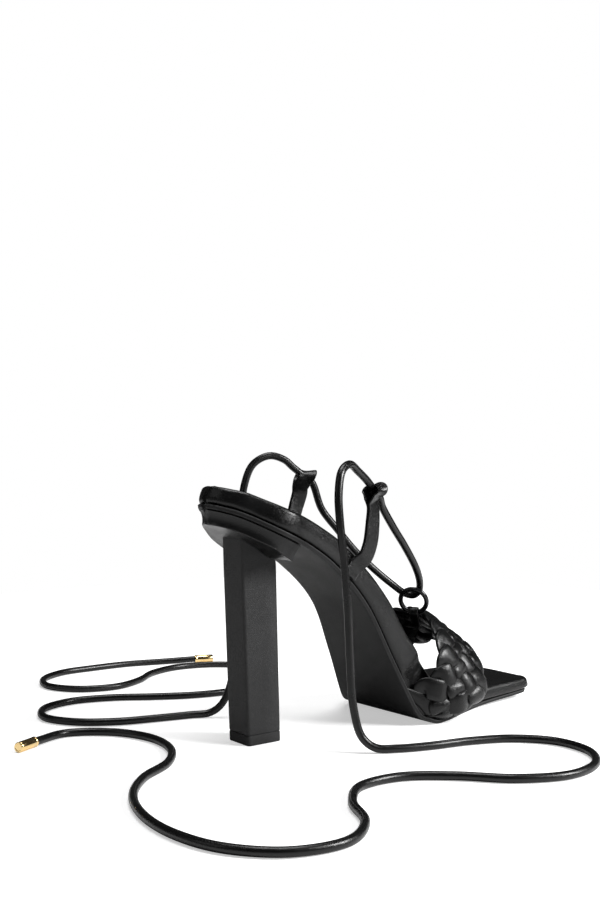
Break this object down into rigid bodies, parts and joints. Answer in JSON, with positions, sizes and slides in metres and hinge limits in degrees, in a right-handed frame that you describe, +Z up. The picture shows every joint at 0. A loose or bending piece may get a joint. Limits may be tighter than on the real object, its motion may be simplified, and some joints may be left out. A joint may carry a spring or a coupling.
{
  "type": "lace up heeled sandal",
  "caption": "Right lace up sandal with a square toe, a braided vamp strap, a padded insole, side tabs, a ring, long lace ends and a high block heel.",
  "frame": {"origin": "middle of the heel's bottom face, on the floor", "axes": "+X from the heel to the toe, +Y to the medial side, +Z up"},
  "size_m": [0.2833, 0.3451, 0.1367],
  "materials": {
    "smooth_leather": "smooth black leather, soft sheen",
    "sole_sheet": "matte black",
    "heel_rubber": "matte black",
    "lace_leather": "smooth black, satin",
    "black_metal": "glossy black",
    "gold_metal": "polished"
  },
  "bodies": {
    "root": {"outsole": "sole_sheet", "insole": "smooth_leather", "heel_seat": "smooth_leather", "heel_block": "smooth_leather", "heel_tip": "heel_rubber", "vamp_braid": "smooth_leather", "vamp_ring": "black_metal", "ring_loop": "smooth_leather", "lace_middle": "lace_leather", "tab_lateral": "smooth_leather", "lace_end_lateral": "lace_leather", "lace_cap_lateral": "gold_metal", "tab_medial": "smooth_leather", "lace_end_medial": "lace_leather", "lace_cap_medial": "gold_metal"}
  },
  "joints": []
}
